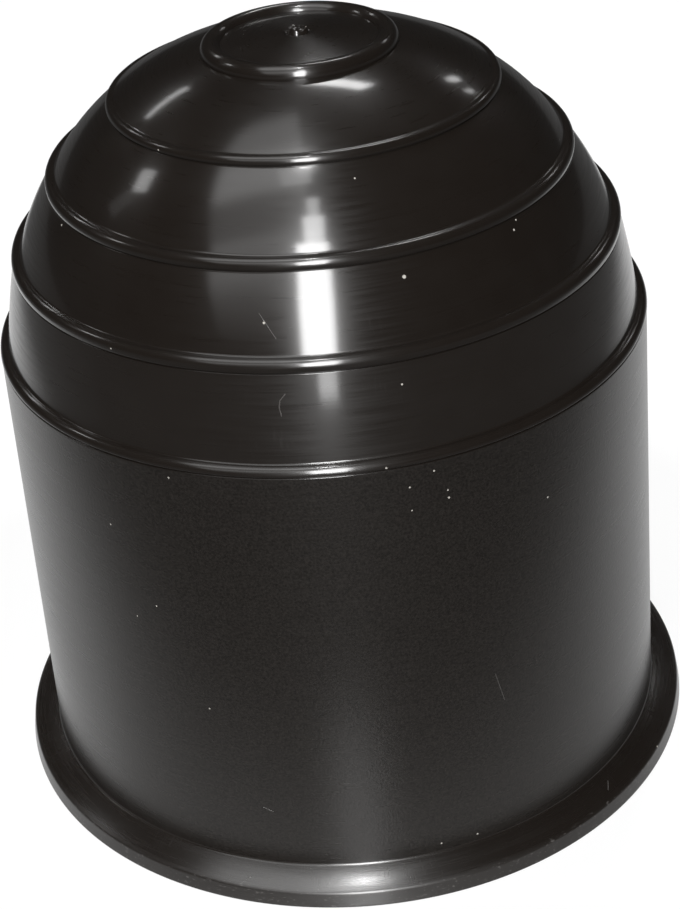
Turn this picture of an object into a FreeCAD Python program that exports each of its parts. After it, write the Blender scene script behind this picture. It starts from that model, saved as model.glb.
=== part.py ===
import FreeCAD, Part
import math
import os

# Push-on cover for a tow ball, moulded in one piece: a stepped dome over a plain skirt with a rim.
# Millimetres, +Z up. The origin is on the axis, at the flat face of the rim that the cover stands on.

# The ball that it covers, and the wall round it
ball_diameter = 50.0
ball_clearance = 0.5
wall = 2.5

# Skirt: its height from the rim's root to the shoulder ledge, and how far it spreads on the way down
skirt_height = 39.5
skirt_flare = 0.53
grip_length = 16.0
mouth_round = 0.8

# Rim round the mouth: a thin brim that falls outwards to a blunt edge
rim_root_height = 2.3
rim_edge_height = 1.44
rim_width = 2.72
rim_edge_draft = 0.26
rim_edge_round = 0.35
rim_foot_round = 0.15
rim_root_fillet = 0.5

# Dome tiers. Width is from ring to ring, drop is from ledge to ledge, curve is the arc's radius.
top_tier_drop = 2.91
top_tier_curve = 21.5
second_tier_width = 5.79
second_tier_drop = 5.73
second_tier_curve = 19.0
third_tier_width = 3.78
third_tier_drop = 6.5
third_tier_curve = 24.5
lowest_tier_width = 2.18
lowest_tier_drop = 8.1
lowest_tier_curve = 90.0

# Ring at the foot of each tier: a cove, a ledge, a rounded ridge, a short land and a fine groove
ledge_flat = 0.05
ridge_radius = 0.45
ridge_land = 0.15
groove_height = 0.15
groove_depth = 0.15
groove_step = 0.04
upper_cove = 0.4
middle_cove = 0.6
lower_cove = 0.3
shoulder_cove = 0.15

# Crown: a slightly domed disc inside a rounded bead, with the sheared stub of the moulding gate
crown_disc_radius = 6.43
crown_disc_rise = 0.62
bead_width = 1.67
bead_crest_in = 1.04
bead_height = 0.48
bead_foot_drop = 0.53
gate_radius = 0.9
gate_height = 0.35

# Radii that follow from the ball
bore_radius = ball_diameter / 2 + ball_clearance
shoulder_radius = bore_radius + wall
lower_ring_radius = shoulder_radius - lowest_tier_width
middle_ring_radius = lower_ring_radius - third_tier_width
upper_ring_radius = middle_ring_radius - second_tier_width
skirt_foot_radius = shoulder_radius + skirt_flare
rim_radius = skirt_foot_radius + rim_width
mouth_radius = skirt_foot_radius - wall

# Heights that follow from the rim up to the crown
shoulder_ledge = rim_root_height + skirt_height
lower_ledge = shoulder_ledge + lowest_tier_drop
middle_ledge = lower_ledge + third_tier_drop
upper_ledge = middle_ledge + second_tier_drop
bead_foot = upper_ledge + top_tier_drop
crown_disc_edge = bead_foot + bead_foot_drop
crown_disc_top = crown_disc_edge + crown_disc_rise

# The ball's centre sits one wall and one ball radius, with its clearance, below the crown
ball_centre = crown_disc_top - wall - bore_radius
grip_foot = ball_centre - grip_length


def point(radius, height):
    return FreeCAD.Vector(radius, 0.0, height)


def straight(start, end):
    return Part.LineSegment(start, end).toShape()


def arc_about(centre, start, end):
    """The shorter arc about centre from start to end."""
    radius = (start - centre).Length
    middle = (start - centre) + (end - centre)
    middle.normalize()
    return Part.Arc(start, centre + middle * radius, end).toShape()


def rounded_corner(before, corner, after, radius):
    """Edge from before towards the corner and its arc; the second value is where the arc ends."""
    back = (before - corner).normalize()
    ahead = (after - corner).normalize()
    half_angle = back.getAngle(ahead) / 2
    setback = radius / math.tan(half_angle)
    bisector = (back + ahead).normalize()
    centre = corner + bisector * (radius / math.sin(half_angle))
    arc_start = corner + back * setback
    arc_end = corner + ahead * setback
    return [straight(before, arc_start), arc_about(centre, arc_start, arc_end)], arc_end


def tier(start, curve, ring_radius, ledge, cove):
    """Convex arc from start that runs tangent into the cove over the ring's ledge."""
    cove_centre = point(ring_radius - ridge_radius - ledge_flat, ledge + cove)
    reach = cove_centre - start
    gap = reach.Length
    along = (curve ** 2 - (curve + cove) ** 2 + gap ** 2) / (2 * gap)
    inwards = FreeCAD.Vector(reach.z, 0.0, -reach.x).normalize()
    across = math.sqrt(curve ** 2 - along ** 2)
    centre = start + reach * (along / gap) + inwards * across
    tangent = centre + (cove_centre - centre) * (curve / (curve + cove))
    cove_end = cove_centre - FreeCAD.Vector(0.0, 0.0, cove)
    return [arc_about(centre, start, tangent), arc_about(cove_centre, tangent, cove_end)], cove_end


def ring(ledge_start, ring_radius, ledge):
    """Ledge, rounded ridge, land and groove; the second value is where the next surface starts."""
    ridge_centre = point(ring_radius - ridge_radius, ledge - ridge_radius)
    ridge_start = point(ridge_centre.x, ledge)
    ridge_end = point(ring_radius, ridge_centre.z)
    land_end = point(ring_radius, ridge_end.z - ridge_land)
    groove_top = point(ring_radius - groove_depth, land_end.z)
    groove_foot = point(groove_top.x, land_end.z - groove_height)
    next_start = point(ring_radius - groove_step, groove_foot.z)
    edges = [
        straight(ledge_start, ridge_start),
        arc_about(ridge_centre, ridge_start, ridge_end),
        straight(ridge_end, land_end),
        straight(land_end, groove_top),
        straight(groove_top, groove_foot),
        straight(groove_foot, next_start),
    ]
    return edges, next_start


def crown_outline():
    """From the axis over the gate stub, the domed disc and the bead, to the head of the top tier."""
    disc_edge = point(crown_disc_radius, crown_disc_edge)
    curve = (crown_disc_radius ** 2 + crown_disc_rise ** 2) / (2 * crown_disc_rise)
    disc_centre = point(0.0, crown_disc_top - curve)
    gate_foot = point(gate_radius, disc_centre.z + math.sqrt(curve ** 2 - gate_radius ** 2))
    gate_top = crown_disc_top + gate_height
    crest = point(crown_disc_radius + bead_crest_in, crown_disc_edge + bead_height)
    bead_end = point(crown_disc_radius + bead_width, bead_foot)
    edges = [
        straight(point(0.0, gate_top), point(gate_radius, gate_top)),
        straight(point(gate_radius, gate_top), gate_foot),
        arc_about(disc_centre, gate_foot, disc_edge),
        Part.Arc(disc_edge, crest, bead_end).toShape(),
    ]
    return edges, bead_end


def dome_outline(start):
    """The four tiers with their rings, down to the head of the skirt."""
    steps = [
        (top_tier_curve, upper_ring_radius, upper_ledge, upper_cove),
        (second_tier_curve, middle_ring_radius, middle_ledge, middle_cove),
        (third_tier_curve, lower_ring_radius, lower_ledge, lower_cove),
        (lowest_tier_curve, shoulder_radius, shoulder_ledge, shoulder_cove),
    ]
    edges = []
    for curve, ring_radius, ledge, cove in steps:
        tier_edges, ledge_start = tier(start, curve, ring_radius, ledge, cove)
        ring_edges, start = ring(ledge_start, ring_radius, ledge)
        edges += tier_edges + ring_edges
    return edges, start


def rim_outline(start):
    """The skirt, the brim and its blunt edge, down to the face that the cover stands on."""
    skirt_foot = point(skirt_foot_radius, rim_root_height)
    edge_top = point(rim_radius - rim_edge_draft, rim_edge_height)
    edge_foot = point(rim_radius, 0.0)
    face = point(mouth_radius, 0.0)
    root, brim_start = rounded_corner(start, skirt_foot, edge_top, rim_root_fillet)
    shoulder, edge_start = rounded_corner(brim_start, edge_top, edge_foot, rim_edge_round)
    foot, face_start = rounded_corner(edge_start, edge_foot, face, rim_foot_round)
    return root + shoulder + foot, face_start


def hollow_outline(start):
    """The rounded mouth, the flared lead-in, the parallel grip and the seat over the ball."""
    mouth = point(mouth_radius, 0.0)
    grip_start = point(bore_radius, grip_foot)
    grip_end = point(bore_radius, ball_centre)
    centre = point(0.0, ball_centre)
    seat_top = point(0.0, ball_centre + bore_radius)
    lip, lead_in = rounded_corner(start, mouth, grip_start, mouth_round)
    edges = lip + [
        straight(lead_in, grip_start),
        straight(grip_start, grip_end),
        arc_about(centre, grip_end, seat_top),
    ]
    return edges, seat_top


def make_cover():
    crown, tier_start = crown_outline()
    dome, skirt_start = dome_outline(tier_start)
    rim, face_start = rim_outline(skirt_start)
    hollow, seat_top = hollow_outline(face_start)
    axis = straight(seat_top, crown[0].Vertexes[0].Point)
    outline = Part.Wire(crown + dome + rim + hollow + [axis])
    section = Part.Face(outline)
    return section.revolve(FreeCAD.Vector(0, 0, 0), FreeCAD.Vector(0, 0, 1), 360)


os.makedirs("parts", exist_ok=True)
cover = make_cover()
cover.exportStep("parts/cover.step")
print("cover", cover.ShapeType, cover.isValid(), round(cover.Volume, 1), cover.BoundBox)
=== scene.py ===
# %% [markdown]
# A push-on cover for a tow ball, in black plastic: a stepped dome over a plain skirt that ends in
# a thin brim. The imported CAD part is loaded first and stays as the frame. Everything below is
# measured in its metres, so nothing has to be fitted afterwards.

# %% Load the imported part
import math

import bpy
import numpy as np
from mathutils import Matrix, Vector


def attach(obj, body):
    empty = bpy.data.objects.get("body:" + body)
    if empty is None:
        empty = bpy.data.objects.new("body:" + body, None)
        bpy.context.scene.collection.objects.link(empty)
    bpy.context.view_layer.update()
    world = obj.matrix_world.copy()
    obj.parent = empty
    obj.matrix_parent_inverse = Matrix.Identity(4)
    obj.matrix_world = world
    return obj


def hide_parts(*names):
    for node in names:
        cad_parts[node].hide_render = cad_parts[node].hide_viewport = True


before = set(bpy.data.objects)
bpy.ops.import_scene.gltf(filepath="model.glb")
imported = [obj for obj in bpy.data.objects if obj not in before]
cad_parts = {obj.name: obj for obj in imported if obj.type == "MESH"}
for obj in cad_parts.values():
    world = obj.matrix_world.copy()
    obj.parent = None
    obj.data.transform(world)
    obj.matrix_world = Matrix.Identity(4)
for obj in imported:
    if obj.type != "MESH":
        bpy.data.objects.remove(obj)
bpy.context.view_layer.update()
MM = 0.001

# %% [markdown]
# The real cover comes out of a mould that was turned on a lathe, so its surface is one profile
# swept once round the axis. It could be made with the Spin tool, or with a Screw modifier on a
# drawn curve. Numbers are better here, because the profile is made of arcs that have to run
# smoothly into each other. First come the sizes in millimetres, each point as its radius from
# the axis and its height above the face that the cover stands on.

# %% Sizes of the cover
# Four rings, from the upper one down to the shoulder
ring_radii = (16.25, 22.04, 25.82, 28.0)
ledge_heights = (62.13, 56.4, 49.9, 41.8)
tier_curves = (21.5, 19.0, 24.5, 90.0)
cove_radii = (0.4, 0.36, 0.22, 0.15)
ledge_flat = 0.05
ridge_radii = (0.5, 0.6, 0.62, 0.6)
ridge_lands = (0.1, 0.2, 0.3, 0.06)
groove_height = 0.15
groove_depth = 0.15
groove_step = 0.04
lip_round = 0.05

# Crown disc, its bead and the gate stub in its middle
crown_disc_radius = 6.43
crown_disc_edge = 65.57
crown_disc_top = 66.19
bead_crest = np.array([7.47, 66.05])
bead_foot = np.array([8.1, 65.04])
gate_radius = 0.9
gate_height = 0.35
gate_taper = 0.8

# Skirt and brim
skirt_foot = np.array([28.53, 2.46])
brim_edge_top = np.array([30.99, 1.44])
brim_edge_foot = np.array([31.235, 0.0])
mouth = np.array([26.03, 0.0])
root_round = 0.22
brim_bow = 0.045
edge_round = 0.3
foot_round = 0.15
mouth_round = 0.8

# Hollow over the ball
bore_radius = 25.5
grip_foot = np.array([bore_radius, 22.19])
ball_centre = np.array([0.0, 38.19])

# %% [markdown]
# A profile is drawn with two strokes, a straight and an arc. Both put their points closer
# together near their ends, where one surface turns into the next and the shading has to turn
# with it, and further apart in the middle, where little happens.

# %% Strokes of a profile
def spread(steps):
    """Shares from 0 up to, not with, 1, closer near both ends: half of one less a cosine."""
    return (1 - np.cos(np.pi * np.arange(steps) / steps)) / 2


def straight(start, end, steps):
    """Points from start up to, not with, end: start plus a share of the way."""
    return start + spread(steps)[:, None] * (end - start)


def arc(centre, start, end, steps):
    """Points on the shorter arc about centre: centre plus the radius, turned a share of the way."""
    first, last = start - centre, end - centre
    angle = math.atan2(first[1], first[0])
    turn = (math.atan2(last[1], last[0]) - angle + math.pi) % math.tau - math.pi
    angles = angle + turn * spread(steps)
    return centre + math.hypot(*first) * np.stack([np.cos(angles), np.sin(angles)], axis=1)


def unit(vector):
    return vector / math.hypot(*vector)


def rounding(before, corner, after, radius):
    """Centre, start and end of the arc that touches both sides of a corner.

    The centre is on the bisector, at the radius over the sine of half the angle."""
    back, ahead = unit(before - corner), unit(after - corner)
    half = math.acos(float(back @ ahead)) / 2
    setback = radius / math.tan(half)
    centre = corner + unit(back + ahead) * radius / math.sin(half)
    return centre, corner + back * setback, corner + ahead * setback


def circle_through(a, b, c):
    """Centre of the circle through three points: where the bisectors of two chords cross."""
    sides = 2 * np.array([b - a, c - a])
    return np.linalg.solve(sides, [b @ b - a @ a, c @ c - a @ a])


# %% [markdown]
# The crown is a slightly domed disc inside a rounded bead. In its middle is the stub that was
# left where the moulding was broken off its runner.

# %% Crown
disc_rise = crown_disc_top - crown_disc_edge
disc_curve = (crown_disc_radius ** 2 + disc_rise ** 2) / (2 * disc_rise)
disc_centre = np.array([0.0, crown_disc_top - disc_curve])
disc_edge = np.array([crown_disc_radius, crown_disc_edge])
gate_top = crown_disc_top + gate_height
gate_rise = math.sqrt(disc_curve ** 2 - gate_radius ** 2)
gate_foot = np.array([gate_radius, disc_centre[1] + gate_rise])
gate_side = np.array([gate_taper * gate_radius, gate_top])
bead_centre = circle_through(disc_edge, bead_crest, bead_foot)
crown = np.concatenate([
    straight(np.array([0.0, gate_top]), gate_side, steps=9),
    straight(gate_side, gate_foot, steps=5),
    arc(disc_centre, gate_foot, disc_edge, steps=14),
    arc(bead_centre, disc_edge, bead_crest, steps=9),
    arc(bead_centre, bead_crest, bead_foot, steps=9),
])
print("crown points:", len(crown))

# %% [markdown]
# Each tier of the dome is a bowed wall that curls up into a small hollow cove, then comes a
# narrow ledge, a rounded ridge that stands round the dome like a hoop, and a fine groove under
# it. The cove's circle touches the tier's circle from outside, so their centres are as far
# apart as their radii added together, and that fixes the tier's centre.

# %% Tiers and rings
def tier(start, curve, ring_radius, ledge, cove, ridge_radius):
    """The tier's arc from start, and its cove down to the ledge; the second value is its end.

    The tier's centre is one curve from start and curve plus cove from the cove's centre."""
    cove_centre = np.array([ring_radius - ridge_radius - ledge_flat, ledge + cove])
    reach = cove_centre - start
    gap = math.hypot(*reach)
    along = (curve ** 2 - (curve + cove) ** 2 + gap ** 2) / (2 * gap)
    inwards = unit(np.array([reach[1], -reach[0]]))
    centre = start + reach * along / gap + inwards * math.sqrt(curve ** 2 - along ** 2)
    touch = centre + (cove_centre - centre) * curve / (curve + cove)
    end = cove_centre - np.array([0.0, cove])
    return [arc(centre, start, touch, steps=15), arc(cove_centre, touch, end, steps=8)], end


def ring(ledge_start, ring_radius, ledge, ridge_radius, ridge_land):
    """Ledge, ridge, land and groove with rounded lips; the second value is where they end.

    The ridge is a quarter circle from its top to its side, and each lip is a small arc."""
    ridge_centre = np.array([ring_radius - ridge_radius, ledge - ridge_radius])
    ridge_top = ridge_centre + np.array([0.0, ridge_radius])
    ridge_side = ridge_centre + np.array([ridge_radius, 0.0])
    lip = ridge_side - np.array([0.0, ridge_land])
    groove_top = lip - np.array([groove_depth, 0.0])
    groove_low = groove_top - np.array([0.0, groove_height])
    next_lip = np.array([ring_radius - groove_step, groove_low[1]])
    below = next_lip - np.array([0.0, 1.0])
    upper = rounding(ridge_side, lip, groove_top, lip_round)
    lower = rounding(groove_low, next_lip, below, lip_round)
    return [
        straight(ledge_start, ridge_top, steps=1),
        arc(ridge_centre, ridge_top, ridge_side, steps=10),
        straight(ridge_side, upper[1], steps=1),
        arc(*upper, steps=3),
        straight(upper[2], groove_top, steps=1),
        straight(groove_top, groove_low, steps=1),
        straight(groove_low, lower[1], steps=1),
        arc(*lower, steps=3),
    ], lower[2]


dome, start = [], bead_foot
sizes = zip(tier_curves, ring_radii, ledge_heights, cove_radii, ridge_radii, ridge_lands)
for curve, radius, ledge, cove, ridge, land in sizes:
    wall, ledge_start = tier(start, curve, radius, ledge, cove, ridge)
    hoop, start = ring(ledge_start, radius, ledge, ridge, land)
    dome += wall + hoop
dome = np.concatenate(dome)
print("dome points:", len(dome), "skirt starts at", start.round(2))

# %% [markdown]
# Below the last ring the skirt runs down almost straight. A small fillet turns it into the brim,
# which is bowed a little and falls outwards to a blunt edge. Inside, the mouth is rounded and
# leads into the parallel grip, and half a sphere over that seats the ball. The bow is an arc
# through the two ends of the brim and a middle point that is lifted off the straight line.

# %% Skirt, brim and hollow
ROOT_STEPS = 8
BRIM_STEPS = 14
root = rounding(start, skirt_foot, brim_edge_top, root_round)
brim_middle = (root[2] + brim_edge_top) / 2
across_brim = unit(brim_edge_top - root[2])
brim_middle += brim_bow * np.array([-across_brim[1], across_brim[0]])
brim_curve = circle_through(root[2], brim_middle, brim_edge_top)
out = brim_edge_top - brim_curve
before_edge = brim_edge_top + np.array([-out[1], out[0]])
edge = rounding(before_edge, brim_edge_top, brim_edge_foot, edge_round)
foot = rounding(edge[2], brim_edge_foot, mouth, foot_round)
lip = rounding(foot[2], mouth, grip_foot, mouth_round)
grip_head = ball_centre + np.array([bore_radius, 0.0])
seat_top = ball_centre + np.array([0.0, bore_radius])
skirt = straight(start, root[1], steps=26)
brim = np.concatenate([
    arc(*root, steps=ROOT_STEPS),
    arc(brim_curve, root[2], edge[1], steps=BRIM_STEPS),
    arc(*edge, steps=7),
    straight(edge[2], foot[1], steps=4),
    arc(*foot, steps=5),
    straight(foot[2], lip[1], steps=6),
])
hollow = np.concatenate([
    arc(*lip, steps=10),
    straight(lip[2], grip_foot, steps=7),
    straight(grip_foot, grip_head, steps=6),
    arc(ball_centre, grip_head, seat_top, steps=32),
])
print("skirt, brim and hollow points:", len(skirt), len(brim), len(hollow))

# %% [markdown]
# The whole profile is swept in one go. Every point is carried round the axis, the first and the
# last row are single points on the axis, and neighbours are joined by four-sided faces, with
# triangles round the two poles. Only the gate stub isn't round: it was torn off, so its top is
# lowered unevenly by three waves that cross. A sculpted stub would look no better at this size.

# %% Sweep the profile into a mesh
SEGMENTS = 288
FINISHES = ("dome", "skirt", "brim", "hollow")
TEAR_WAVES = ((5.1, 0.0, 0.4), (-2.2, 4.3, 0.0), (0.0, 6.7, 1.3))
TEAR_DEPTH = 0.09
TEAR_FADE = 0.3
TEAR_LOWEST = crown_disc_top - 0.02
profile = np.concatenate([crown, dome, skirt, brim, hollow, seat_top[None]])
rows = len(profile)
travelled = np.append(0, np.cumsum(np.hypot(*np.diff(profile, axis=0).T)))
rows_of_finish = [len(crown) + len(dome), len(skirt), len(brim), len(hollow)]
finish_of_row = np.repeat(range(len(FINISHES)), rows_of_finish)


def swept(profile, segments):
    """Vertices: radius times cosine, radius times sine, and height, for every row and angle."""
    angles = math.tau * np.arange(segments) / segments
    radius, height = profile[:, :1], profile[:, 1:]
    sides = radius * np.cos(angles), radius * np.sin(angles)
    return np.stack([*sides, height + 0 * angles], axis=2)


def corners(row_steps, column_steps):
    """Row and column of each corner of every face between two rows, in the order of the steps."""
    row, column = np.meshgrid(np.arange(rows - 1), np.arange(SEGMENTS), indexing="ij")
    return row[..., None] + row_steps, column[..., None] + column_steps


def torn(grid):
    """The stub's top sinks by a depth times half the sum of one plus each crossed sine wave."""
    across = grid[..., 0] / gate_radius
    along = grid[..., 1] / gate_radius
    waves = sum(1 + np.sin(a * across + b * along + shift) for a, b, shift in TEAR_WAVES)
    inside = np.clip(1 + TEAR_FADE - np.hypot(across, along), 0, TEAR_FADE) / TEAR_FADE
    on_stub = grid[..., 2] > TEAR_LOWEST
    grid[..., 2] -= TEAR_DEPTH * inside * waves / 2 * on_stub
    return grid


grid = torn(swept(profile, SEGMENTS)) * MM
vertices = np.concatenate([grid[0, :1], grid[1:-1].reshape(-1, 3), grid[-1, :1]])
row, column = corners([0, 1, 1, 0], [0, 0, 1, 1])
number = np.clip(1 + (row - 1) * SEGMENTS + column % SEGMENTS, 0, None)
number = np.where(row == 0, 0, np.where(row == rows - 1, len(vertices) - 1, number))
top_fan = number[0][:, [0, 1, 2]]
low_fan = number[-1][:, [0, 1, 3]]
quads = number[1:-1].reshape(-1, 4)
faces = top_fan.tolist() + quads.tolist() + low_fan.tolist()
shell = bpy.data.meshes.new("cover_shell")
shell.from_pydata(vertices.tolist(), [], faces)
print("vertices:", len(vertices), "faces:", len(faces))

# %% [markdown]
# A mesh can carry numbers for its materials to read. The finishes need two things: which way the
# turning runs, to smear the gloss across it, and how far round and down the wall a place is. The
# first could be a tangent from a plain UV map, and that is what is stored. The second is stored as
# a cosine, a sine and a distance, because an angle would jump at the seam and these don't.

# %% Store what the finishes follow
SHARP_FROM = math.radians(40)


def corner_values(values):
    """One value a face corner, in the order of the faces: the top fan, the quads and the low fan."""
    parts = [values[0][:, [0, 1, 2]], values[1:-1], values[-1][:, [0, 1, 3]]]
    return np.concatenate([part.reshape(-1) for part in parts])


turning_map = shell.uv_layers.new(name="turning_map")
down = corner_values(np.broadcast_to(travelled[row] / travelled[-1], row.shape))
round_it = corner_values(np.broadcast_to(column / SEGMENTS, column.shape))
turning_map.data.foreach_set("uv", np.stack([down, round_it], axis=1).ravel())

angles = np.arctan2(vertices[:, 1], vertices[:, 0])
down_wall = np.concatenate([[0], np.repeat(travelled[1:-1], SEGMENTS), travelled[-1:]])
turning = np.stack([np.cos(angles), np.sin(angles), down_wall], axis=1)
turning[[0, -1], :2] = 0
stored = shell.attributes.new("turning", "FLOAT_VECTOR", "POINT")
stored.data.foreach_set("vector", turning.ravel())

band = np.repeat(finish_of_row, SEGMENTS)
shell.polygons.foreach_set("material_index", band)
shell.polygons.foreach_set("use_smooth", np.ones(len(faces), bool))
shell.set_sharp_from_angle(angle=SHARP_FROM)
shell.validate()
shell.update()
cover = bpy.data.objects.new("cover_shell", shell)
bpy.context.scene.collection.objects.link(cover)
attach(cover, "root")
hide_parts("cover")
print("length of the profile in mm:", round(float(travelled[-1]), 1))

# %% [markdown]
# Finishes are built from shader nodes. The first helper makes one node, sets its fields and plugs
# in its inputs, so that a material below reads as a list of what it is made of. Two more make the
# nodes that are used most, one that works out a number and one that blends two colours.

# %% Node helper
def add_node(tree, kind, inputs=None, **fields):
    made = tree.nodes.new(kind)
    for name, value in fields.items():
        setattr(made, name, value)
    for name, value in (inputs or {}).items():
        if isinstance(value, bpy.types.NodeSocket):
            tree.links.new(value, made.inputs[name])
        else:
            made.inputs[name].default_value = value
    return made


def worked(tree, operation, *values):
    """A number worked out from others, such as their sum or the larger of two."""
    inputs = dict(enumerate(values))
    return add_node(tree, "ShaderNodeMath", inputs, operation=operation).outputs[0]


def blended(tree, share, under, over):
    """The colour under where share is 0, and the colour over where it is 1."""
    inputs = {0: share, 6: under, 7: over}
    return add_node(tree, "ShaderNodeMix", inputs, data_type="RGBA").outputs[2]


def new_material(name):
    material = bpy.data.materials.new(name)
    material.use_nodes = True
    material.node_tree.nodes.clear()
    return material, material.node_tree


# %% [markdown]
# Marks make a moulding look handled: dust that sits on the gloss, and hairline scratches. Each is
# given by where it is, as degrees round from the front and millimetres down the wall, so it stays
# put on the surface. A speck is everything near a point. A scratch is everything near a line, and
# the nearest place on a line is found by projecting onto it and holding the share within 0 to 1.

# %% Places of the marks
# A speck is its place and its reach in millimetres, a scratch its two ends and its reach
SPECKS = {
    "dome": (
        (16.0, 29.0, 0.18), (10.8, 20.3, 0.09), (42.5, 28.4, 0.11), (44.2, 27.8, 0.09),
        (12.0, 37.4, 0.1), (-65.2, 27.9, 0.11), (-39.6, 35.0, 0.09), (-10.7, 31.3, 0.12),
        (7.7, 43.9, 0.11), (-45.3, 18.2, 0.09), (128.0, 24.0, 0.12), (-150.0, 36.0, 0.1),
        (95.0, 0.62, 0.16), (160.0, 0.4, 0.17), (-70.0, 0.55, 0.18), (30.0, 0.6, 0.16),
        (-150.0, 0.7, 0.12),
    ),
    "skirt": (
        (15.3, 45.2, 0.1), (11.2, 46.2, 0.1), (17.4, 47.2, 0.09), (17.5, 47.9, 0.12),
        (11.3, 48.3, 0.08), (36.1, 51.3, 0.11), (-27.6, 45.1, 0.1), (140.0, 58.0, 0.11),
        (-130.0, 70.0, 0.1), (-41.0, 51.2, 0.09), (-37.8, 59.6, 0.08), (-33.3, 57.9, 0.09),
        (-25.4, 67.2, 0.08), (12.4, 82.0, 0.1), (19.0, 82.1, 0.1),
    ),
    "brim": ((60.0, 85.5, 0.1),),
    "hollow": (),
}
SCRATCHES = {
    "dome": (
        ((-11.6, 30.6), (-8.6, 32.5), 0.035), ((-7.4, 37.2), (-8.3, 37.7), 0.05),
        ((-8.3, 37.7), (-8.5, 38.2), 0.05), ((-8.5, 38.2), (-8.2, 38.9), 0.05),
        ((101.0, 27.0), (106.0, 29.5), 0.035), ((-120.0, 20.0), (-116.0, 22.5), 0.035),
    ),
    "skirt": (
        ((-17.7, 76.9), (-16.0, 77.3), 0.04), ((170.0, 60.0), (176.0, 63.0), 0.04),
        ((24.0, 66.0), (25.5, 69.0), 0.03),
    ),
    "brim": (((46.7, 84.0), (45.3, 84.6), 0.05), ((-20.0, 84.5), (-21.5, 85.3), 0.04)),
    "hollow": (),
}


def on_wall(turn, down):
    """Place on the profile at a distance down it, turned about the axis from the front."""
    radius, height = (np.interp(down, travelled, side) for side in profile.T)
    angle = math.radians(turn)
    return MM * np.array([radius * math.sin(angle), -radius * math.cos(angle), height])


def near(tree, distance, reach):
    """1 up to half the reach in millimetres, then falling to 0 at it."""
    return add_node(tree, "ShaderNodeMapRange", {
        "Value": distance,
        "From Min": reach * MM,
        "From Max": 0.5 * reach * MM,
    }, interpolation_type="SMOOTHSTEP").outputs[0]


def highest(tree, masks):
    """The largest of several masks at each place."""
    joined = masks[0]
    for mask in masks[1:]:
        joined = worked(tree, "MAXIMUM", joined, mask)
    return joined


def speck(tree, place, turn, down, reach):
    centre = on_wall(turn, down).tolist()
    apart = add_node(tree, "ShaderNodeVectorMath", {0: place, 1: centre}, operation="DISTANCE")
    return near(tree, apart.outputs["Value"], reach)


def scratch(tree, place, start, end, reach):
    """Near a line: the way from its start, less its run times the share along it, in 0 to 1."""
    first = on_wall(*start)
    run = on_wall(*end) - first
    offset = add_node(tree, "ShaderNodeVectorMath", {
        0: place,
        1: first.tolist(),
    }, operation="SUBTRACT")
    share = add_node(tree, "ShaderNodeVectorMath", {
        0: offset.outputs[0],
        1: (run / (run @ run)).tolist(),
    }, operation="DOT_PRODUCT")
    held = add_node(tree, "ShaderNodeMapRange", {"Value": share.outputs["Value"], "To Max": -1.0})
    gap = add_node(tree, "ShaderNodeVectorMath", {
        0: run.tolist(),
        1: held.outputs[0],
        2: offset.outputs[0],
    }, operation="MULTIPLY_ADD")
    apart = add_node(tree, "ShaderNodeVectorMath", {0: gap.outputs[0]}, operation="LENGTH")
    return near(tree, apart.outputs["Value"], reach)


print("specks:", sum(map(len, SPECKS.values())), "scratches:", sum(map(len, SCRATCHES.values())))

# %% [markdown]
# The mould was polished while it turned, so its fine lines run round the cover. They come from a
# noise that is read far apart down the wall and close together round it, at the stored cosine and
# sine, which have no seam. Rubbing by hands and cloths leaves hairlines of every direction, and
# they show mostly across the lines.

# %% Patterns that follow the turning
def noise(tree, vector, detail=2.0):
    return add_node(tree, "ShaderNodeTexNoise", {
        "Vector": vector,
        "Scale": 1.0,
        "Detail": detail,
    }).outputs[0]


def turned_noise(tree, round_it, down_it, detail=2.0):
    """Noise with round_it features to a radius of the way round and down_it to a millimetre down."""
    turning = add_node(tree, "ShaderNodeAttribute", attribute_name="turning").outputs["Vector"]
    stretched = add_node(tree, "ShaderNodeVectorMath", {
        0: turning,
        1: (round_it, round_it, down_it),
    }, operation="MULTIPLY")
    return noise(tree, stretched.outputs[0], detail)


def grain(tree, place, size):
    """Noise in the object's own space, with features of a size in millimetres."""
    spread_out = add_node(tree, "ShaderNodeVectorMath", {
        0: place,
        "Scale": 1 / (size * MM),
    }, operation="SCALE")
    return noise(tree, spread_out.outputs[0])


def between(tree, value, low, high, at_low, at_high):
    """A value carried from one range to another and held at its ends."""
    return add_node(tree, "ShaderNodeMapRange", {
        "Value": value,
        "From Min": low,
        "From Max": high,
        "To Min": at_low,
        "To Max": at_high,
    }).outputs[0]


def raised(tree, height, depth, normal=None):
    """Bump by a height of 0 to 1 times a depth in micrometres, on top of the bump before it."""
    inputs = {"Height": height, "Distance": depth * MM * MM}
    if normal is not None:
        inputs["Normal"] = normal
    return add_node(tree, "ShaderNodeBump", inputs).outputs[0]


# %% [markdown]
# The dome is hard, glossy plastic. A gloss like this has two parts: a sharp one, which draws the
# edges of the lamps, and a haze from fine polishing lines, which smears the brightest lamp into a
# tail. The sharp part is the shader's coat, and the haze is the base layer with its gloss
# stretched along the profile, across the lines. The skirt has a fine moulded grain instead, the
# brim is smooth again, and the inside is plain and duller, as a mould's core leaves it.

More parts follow.
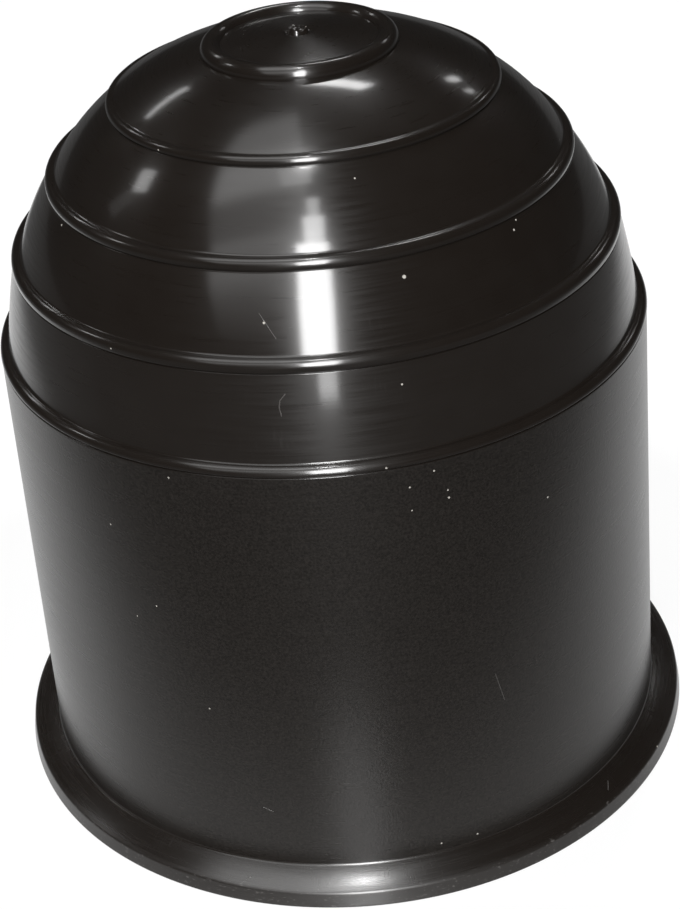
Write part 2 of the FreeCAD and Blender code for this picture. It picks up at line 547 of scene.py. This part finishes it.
# %% Values of the four finishes
BLACK = (0.0062, 0.0048, 0.0039, 1)
GREYED = (0.0075, 0.0061, 0.0051, 1)
GRAIN_LOW = (0.0036, 0.0028, 0.0022, 1)
GRAIN_HIGH = (0.0102, 0.0086, 0.0074, 1)
TINTS = {
    "dome": (BLACK, GREYED),
    "skirt": (GRAIN_LOW, GRAIN_HIGH),
    "brim": (BLACK, GREYED),
    "hollow": (BLACK, GREYED),
}
DUST = (0.3, 0.285, 0.26, 1)
# The pale colour of the scratches, also used for the painted highlight spots on the brim's edge
SCRATCH_AND_EDGE_HIGHLIGHT = (0.045, 0.042, 0.04, 1)
COAT = {"dome": 0.65, "skirt": 0.0, "brim": 0.4, "hollow": 0.0}
COAT_ROUGHNESS = {"dome": 0.11, "skirt": 0.2, "brim": 0.16, "hollow": 0.3}
BASE_SHINE = {"dome": 0.16, "skirt": 0.45, "brim": 0.44, "hollow": 0.5}
POLISHED = {"dome": 0.27, "skirt": 0.27, "brim": 0.22, "hollow": 0.38}
RUBBED = {"dome": 0.38, "skirt": 0.3, "brim": 0.3, "hollow": 0.5}
STRETCH = {"dome": 0.7, "skirt": 0.4, "brim": 0.5, "hollow": 0.0}
LINE_DEPTH = {"dome": 0.7, "skirt": 0.25, "brim": 0.6, "hollow": 1.5}
GRAIN_SIZE = {"dome": 2.6, "skirt": 0.2, "brim": 1.8, "hollow": 0.4}
GRAIN_DEPTH = {"dome": 1.8, "skirt": 14.0, "brim": 2.0, "hollow": 6.0}
SPECKLE = {"dome": 0.5, "skirt": 1.0, "brim": 0.5, "hollow": 0.5}
HAIRLINES = {"dome": 0.12, "skirt": 0.02, "brim": 0.12, "hollow": 0.12}

# Features of a pattern to a radius of the way round, and to a millimetre down the wall
LINES = (4.0, 4.5)
HAIRS = (160.0, 0.5)
EDGE_HIGHLIGHT_SPOTS = (90.0, 5.0)

# The size in millimetres of the patches where the hairlines are
WORN_SIZE = 7.0

# The part of a noise's range over which its pattern fades in
LINE_RANGE = (0.32, 0.68)
HAIR_RANGE = (0.6, 0.72)
WORN_RANGE = (0.5, 0.7)
PEEL_RANGE = (0.3, 0.7)
EDGE_HIGHLIGHT_RANGE = (0.62, 0.7)

# How pale the painted highlight spots on the brim's edge are, how much rougher the brim's edge is,
# and micrometres for a scratch
EDGE_HIGHLIGHT_SHARE = 0.8
EDGE_DULLING = 0.15
SCRATCH_DEPTH = 12.0

# %% [markdown]
# The four finishes share one recipe and differ in their values, so one function makes them all. A
# picture of plastic could be painted on instead, but it would hold still under moving light, and
# gloss is mostly what the light does. The dust and the scratches come last, over everything else.
# The brim's blunt edge gets small pale spots, a painted highlight for the lighter line along it.

# %% Black plastic
# Millimetres before and after the start of the brim's edge over which the painted highlight and the
# extra roughness set in
EDGE_LEAD = 0.3
EDGE_TRAIL = 0.1


def along_edge(tree):
    """1 on the brim's blunt edge and 0 on its broad top, by the distance down the wall."""
    turning = add_node(tree, "ShaderNodeAttribute", attribute_name="turning").outputs["Vector"]
    down = add_node(tree, "ShaderNodeSeparateXYZ", {0: turning}).outputs["Z"]
    before = len(crown) + len(dome) + len(skirt)
    edge_start = float(travelled[before + ROOT_STEPS + BRIM_STEPS])
    return between(tree, down, edge_start - EDGE_LEAD, edge_start + EDGE_TRAIL, 0.0, 1.0)


def black_plastic(name):
    material, tree = new_material(f"cover_{name}")
    place = add_node(tree, "ShaderNodeTexCoord").outputs["Object"]
    lines = turned_noise(tree, *LINES, detail=3.0)
    hairs = turned_noise(tree, *HAIRS)
    peel = grain(tree, place, GRAIN_SIZE[name])
    worn = grain(tree, place, WORN_SIZE)

    hairy = between(tree, hairs, *HAIR_RANGE, 0.0, 1.0)
    patchy = between(tree, worn, *WORN_RANGE, 0.0, HAIRLINES[name])
    gloss = between(tree, lines, *LINE_RANGE, POLISHED[name], RUBBED[name])
    gloss = worked(tree, "ADD", gloss, worked(tree, "MULTIPLY", hairy, patchy))

    normal = raised(tree, peel, GRAIN_DEPTH[name])
    normal = raised(tree, lines, LINE_DEPTH[name], normal)
    colour = blended(tree, between(tree, peel, *PEEL_RANGE, 0.0, SPECKLE[name]), *TINTS[name])
    if name == "brim":
        # Pale spots along the brim's edge are a painted highlight; the edge is also made a little
        # rougher.
        edge_band = along_edge(tree)
        painted_edge_highlight = between(tree, turned_noise(tree, *EDGE_HIGHLIGHT_SPOTS), *EDGE_HIGHLIGHT_RANGE, 0.0, EDGE_HIGHLIGHT_SHARE)
        colour = blended(tree, worked(tree, "MULTIPLY", painted_edge_highlight, edge_band), colour, SCRATCH_AND_EDGE_HIGHLIGHT)
        gloss = worked(tree, "MULTIPLY_ADD", edge_band, EDGE_DULLING, gloss)
    if SCRATCHES[name]:
        scored = highest(tree, [scratch(tree, place, *mark) for mark in SCRATCHES[name]])
        normal = raised(tree, scored, SCRATCH_DEPTH, normal)
        colour = blended(tree, scored, colour, SCRATCH_AND_EDGE_HIGHLIGHT)
    if SPECKS[name]:
        dust = highest(tree, [speck(tree, place, *mark) for mark in SPECKS[name]])
        colour = blended(tree, dust, colour, DUST)
    tangent = add_node(tree, "ShaderNodeTangent", direction_type="UV_MAP", uv_map="turning_map")
    surface = add_node(tree, "ShaderNodeBsdfPrincipled", {
        "Base Color": colour,
        "Roughness": gloss,
        "Specular IOR Level": BASE_SHINE[name],
        "Anisotropic": STRETCH[name],
        "Tangent": tangent.outputs["Tangent"],
        "Coat Weight": COAT[name],
        "Coat Roughness": COAT_ROUGHNESS[name],
        "Normal": normal,
        "Coat Normal": normal,
    })
    add_node(tree, "ShaderNodeOutputMaterial", {"Surface": surface.outputs["BSDF"]})
    return material


for name in FINISHES:
    shell.materials.append(black_plastic(name))
print("finishes:", [material.name for material in shell.materials])

# %% [markdown]
# The cover stands on pale paper in a soft studio. The paper is a plain diffuse white with a glow
# mixed in for what the camera sees, which keeps it white without more light on the cover and
# leaves the cover's shadow. Mirror and glass rays get the glow too. The black gloss shows the
# paper only near the cover, as paper that lies in a pool of light does. That pool of light is
# painted into the paper's shade and glow, so the paper dims away from the pool for every ray but
# the camera's. Close to the cover the paper has a little sheen, in which the cover's foot shows.

# %% Floor
FLOOR_HALF = 3.0
POOL_CENTRE = (0.0, 0.065, 0.0)
POOL_SQUEEZE = (0.8, 1.0, 1.0)
POOL_INNER = 0.075
POOL_OUTER = 0.123
POOL_BRIGHT = 0.9
ROOM_DIM = 0.12
PAPER_WHITE = 0.9
GLOW_SHARE = 0.85
SHEEN_REACH = 0.06
SHEEN_FADE = 0.8
SHEEN_ROUGHNESS = 0.22
PAPER_IOR = 1.5

paper, tree = new_material("floor_paper")
rays = add_node(tree, "ShaderNodeLightPath")
place = add_node(tree, "ShaderNodeTexCoord").outputs["Object"]
narrowed = add_node(tree, "ShaderNodeVectorMath", {
    0: place,
    1: POOL_SQUEEZE,
}, operation="MULTIPLY")
from_pool = add_node(tree, "ShaderNodeVectorMath", {
    0: narrowed.outputs[0],
    1: POOL_CENTRE,
}, operation="DISTANCE")
# A painted pool of light: the paper's shade, and its glow for mirror rays, are bright inside it and
# dim outside it.
pool = add_node(tree, "ShaderNodeMapRange", {
    "Value": from_pool.outputs["Value"],
    "From Min": POOL_INNER,
    "From Max": POOL_OUTER,
    "To Min": POOL_BRIGHT,
    "To Max": ROOM_DIM,
}, interpolation_type="SMOOTHSTEP")
by_camera = rays.outputs["Is Camera Ray"]
level = add_node(tree, "ShaderNodeMix", {0: by_camera, 2: pool.outputs[0], 3: 1.0}).outputs[0]
shade = worked(tree, "MULTIPLY", level, PAPER_WHITE)
diffuse = add_node(tree, "ShaderNodeBsdfDiffuse", {"Color": shade})
glow = add_node(tree, "ShaderNodeEmission", {"Color": level, "Strength": 1.0})
seen = worked(tree, "MAXIMUM", by_camera, rays.outputs["Is Glossy Ray"])
seen = worked(tree, "MAXIMUM", seen, rays.outputs["Is Transmission Ray"])
lit = add_node(tree, "ShaderNodeMixShader", {
    0: worked(tree, "MULTIPLY", seen, GLOW_SHARE),
    1: diffuse.outputs[0],
    2: glow.outputs[0],
})
from_cover = add_node(tree, "ShaderNodeVectorMath", {0: place}, operation="LENGTH")
close_by = add_node(tree, "ShaderNodeMapRange", {
    "Value": from_cover.outputs["Value"],
    "From Min": SHEEN_REACH,
    "From Max": SHEEN_FADE * SHEEN_REACH,
}, interpolation_type="SMOOTHSTEP")
fresnel = add_node(tree, "ShaderNodeFresnel", {"IOR": PAPER_IOR})
sheen = add_node(tree, "ShaderNodeBsdfGlossy", {"Roughness": SHEEN_ROUGHNESS})
surface = add_node(tree, "ShaderNodeMixShader", {
    0: worked(tree, "MULTIPLY", close_by.outputs[0], fresnel.outputs[0]),
    1: lit.outputs[0],
    2: sheen.outputs[0],
})
add_node(tree, "ShaderNodeOutputMaterial", {"Surface": surface.outputs[0]})

floor_mesh = bpy.data.meshes.new("floor")
ways = ((-1, -1), (1, -1), (1, 1), (-1, 1))
floor_corners = [(x * FLOOR_HALF, y * FLOOR_HALF, 0) for x, y in ways]
floor_mesh.from_pydata(floor_corners, [], [(0, 1, 2, 3)])
floor_mesh.materials.append(paper)
floor = bpy.data.objects.new("floor", floor_mesh)
bpy.context.scene.collection.objects.link(floor)
print("paper in m:", 2 * FLOOR_HALF, "pool out to:", POOL_OUTER)

# %% [markdown]
# The camera looks down at the cover from a little above it, from near by, so that the cover narrows
# towards its foot. It could be aimed with a Track To constraint, but the picture is also turned a
# little in its plane, so the three directions of the camera are worked out and set as its matrix.

# %% Camera
CAMERA_PLACE = Vector((0.0, -0.159261, 0.123049))
CAMERA_YAW = math.radians(0.15226)
CAMERA_PITCH = math.radians(31.39067)
CAMERA_ROLL = math.radians(-4.93208)
SENSOR_WIDTH = 36.0
LENS_LENGTH = 81.18
NEAREST_SEEN = 0.01

ahead = Vector((
    math.sin(CAMERA_YAW) * math.cos(CAMERA_PITCH),
    math.cos(CAMERA_YAW) * math.cos(CAMERA_PITCH),
    -math.sin(CAMERA_PITCH),
))
level_right = Vector((math.cos(CAMERA_YAW), -math.sin(CAMERA_YAW), 0))
level_up = level_right.cross(ahead)
right = level_right * math.cos(CAMERA_ROLL) + level_up * math.sin(CAMERA_ROLL)
up = level_up * math.cos(CAMERA_ROLL) - level_right * math.sin(CAMERA_ROLL)
lens = bpy.data.cameras.new("camera")
lens.sensor_width = SENSOR_WIDTH
lens.lens = LENS_LENGTH
lens.clip_start = NEAREST_SEEN
camera = bpy.data.objects.new("camera", lens)
turned = Matrix((right, up, -ahead)).transposed().to_4x4()
camera.matrix_world = Matrix.Translation(CAMERA_PLACE) @ turned
bpy.context.scene.collection.objects.link(camera)
bpy.context.scene.camera = camera
print("camera from the cover's foot in m:", round(CAMERA_PLACE.length, 3))

# %% [markdown]
# Black gloss has hardly a colour of its own. What is seen in it is the light round it: a tall
# bright strip in front, and small lamps at the sides and behind. A picture of a room could be
# wrapped round the cover, but lamps with plain shapes can be placed one by one, each where the
# gloss mirrors it towards the camera. The strip is three lamps over each other, which narrow
# upwards, and its foot is a fourth one that stands nearer.

# %% Lamps round the cover
LAMP_REACH = 1.5
AIM = Vector((0, 0, 0.05))


def lamp(name, azimuth, elevation, wide, tall, radiance, spin=0.0, reach=LAMP_REACH):
    """Rectangular lamp that looks at the cover, with its sides as angles seen from there.

    Azimuth is the way round to the left from the camera's side. The power is pi times the area
    times the brightness that the lamp shows."""
    width, height = (2 * reach * math.tan(math.radians(a) / 2) for a in (wide, tall))
    light = bpy.data.lights.new(name, "AREA")
    light.shape = "RECTANGLE"
    light.size, light.size_y = width, height
    light.energy = math.pi * width * height * radiance
    turn, rise = math.radians(azimuth), math.radians(elevation)
    outwards = Vector((-math.sin(turn), -math.cos(turn), 0))
    away = outwards * math.cos(rise) + Vector((0, 0, math.sin(rise)))
    shown = bpy.data.objects.new(name, light)
    shown.rotation_mode = "QUATERNION"
    spun = Matrix.Rotation(math.radians(spin), 3, "Z").to_quaternion()
    shown.rotation_quaternion = away.to_track_quat("Z", "Y") @ spun
    shown.location = AIM + away * reach
    bpy.context.scene.collection.objects.link(shown)


# The way round, the height, the width and the tallness in degrees, then the brightness
lamp("key_strip", 2.4, 27, 12, 44, 34)
lamp("key_neck", 1.0, 55.5, 7, 13, 21)
lamp("key_head", 0.5, 66.5, 3.8, 9, 12)
lamp("key_foot", 0.3, -2.3, 6, 4.8, 15, reach=0.6)
lamp("left_lamp", 110, 39.5, 9, 6, 7, spin=-35)
lamp("left_glow", 106.5, 29, 6, 10, 0.5)
lamp("left_back_lamp", 150.5, 33.9, 13, 1.6, 8, spin=-4)
lamp("back_lamp", -171.5, 47.0, 13, 4, 18, spin=-27)
lamp("right_back_lamp", -148.6, 31.5, 2.2, 4, 9)
lamp("right_side_lamp", -142.4, 31, 1.5, 3, 8)
print("lamps round the cover:", len(bpy.data.lights))

# %% [markdown]
# Overhead are a small bright bulb, its shade, and a wide window to the left. Each is given by how
# far a ray from the cover runs for each unit that it rises, which keeps straight edges straight.
# The window isn't even: two of its sides are soft slanting edges, and a curve along it makes it
# brighter in bands. A picture could be put on it, but two lines and a curve say it in few numbers.

# %% Lamps overhead
CEILING = 1.5
WINDOW_LOW = (-1.8, -2.6)
WINDOW_HIGH = (-0.03, 0.6)

# Places along the window and how bright it is there
WINDOW_BANDS = (
    (-2.6, 0.04), (-1.8, 0.12), (-1.35, 0.22), (-1.05, 0.42), (-0.8, 0.6), (-0.6, 0.3),
    (-0.35, 0.28), (-0.12, 0.9), (0.02, 0.9), (0.2, 0.5), (0.6, 0.5),
)


def ceiling_lamp(name, low, high, radiance):
    """Rectangular lamp over the cover from one corner to another.

    A corner is the run of a ray from the cover for each unit that it rises."""
    size = [(b - a) * CEILING for a, b in zip(low, high)]
    middle = [(a + b) / 2 * CEILING for a, b in zip(low, high)]
    light = bpy.data.lights.new(name, "AREA")
    light.shape = "RECTANGLE"
    light.size, light.size_y = size
    light.energy = math.pi * size[0] * size[1] * radiance
    shown = bpy.data.objects.new(name, light)
    shown.location = AIM + Vector((*middle, CEILING))
    bpy.context.scene.collection.objects.link(shown)
    return light


ceiling_lamp("bulb_shade", (-0.16, -0.2), (0.0, -0.04), radiance=6.0)
ceiling_lamp("bulb", (-0.045, -0.07), (0.0, 0.02), radiance=145.0)
window = ceiling_lamp("window", WINDOW_LOW, WINDOW_HIGH, radiance=4.0)
window.use_nodes = True
tree = window.node_tree
on_window = add_node(tree, "ShaderNodeNewGeometry").outputs["Parametric"]
across = add_node(tree, "ShaderNodeSeparateXYZ", {0: on_window})
slope = []
for axis in (0, 1):
    slope.append(add_node(tree, "ShaderNodeMapRange", {
        "Value": across.outputs[axis],
        "To Min": WINDOW_LOW[axis],
        "To Max": WINDOW_HIGH[axis],
    }).outputs[0])


def edge_of_light(across_slope, along_slope, offset, softness):
    """A soft edge: across_slope x plus along_slope y plus offset, as a share of the softness."""
    share = worked(tree, "MULTIPLY_ADD", slope[0], across_slope, offset)
    share = worked(tree, "MULTIPLY_ADD", slope[1], along_slope, share)
    return add_node(tree, "ShaderNodeMapRange", {
        "Value": share,
        "From Max": softness,
    }, interpolation_type="SMOOTHSTEP").outputs[0]


left_edge = edge_of_light(across_slope=1.0, along_slope=-0.6, offset=0.575, softness=0.12)
back_edge = edge_of_light(across_slope=0.4, along_slope=-1.0, offset=0.615, softness=0.25)
bands = add_node(tree, "ShaderNodeFloatCurve", {"Value": across.outputs[1]})
points = bands.mapping.curves[0].points
window_length = WINDOW_HIGH[1] - WINDOW_LOW[1]
places = [((along - WINDOW_LOW[1]) / window_length, bright) for along, bright in WINDOW_BANDS]
points[0].location, points[1].location = places[0], places[-1]
for where, bright in places[1:-1]:
    points.new(where, bright)
bands.mapping.update()
shape = worked(tree, "MULTIPLY", left_edge, back_edge)
shape = worked(tree, "MULTIPLY", shape, bands.outputs[0])
tree.links.new(shape, tree.nodes["Emission"].inputs["Strength"])
print("all lamps:", len(bpy.data.lights))

# %% [markdown]
# The world is almost black. It only lifts the shadows a little, as the walls of a room do, because
# a brighter one would lie over the black plastic like mist.

# %% World
ROOM_GREY = 0.013
world = bpy.data.worlds.new("room")
bpy.context.scene.world = world
world.use_nodes = True
background = world.node_tree.nodes["Background"]
background.inputs["Color"].default_value = (ROOM_GREY, ROOM_GREY, ROOM_GREY, 1)
print("world level:", ROOM_GREY)

# %% [markdown]
# The picture is shown with the Standard view, which leaves white paper white.

# %% Finish
bpy.context.scene.view_settings.view_transform = "Standard"
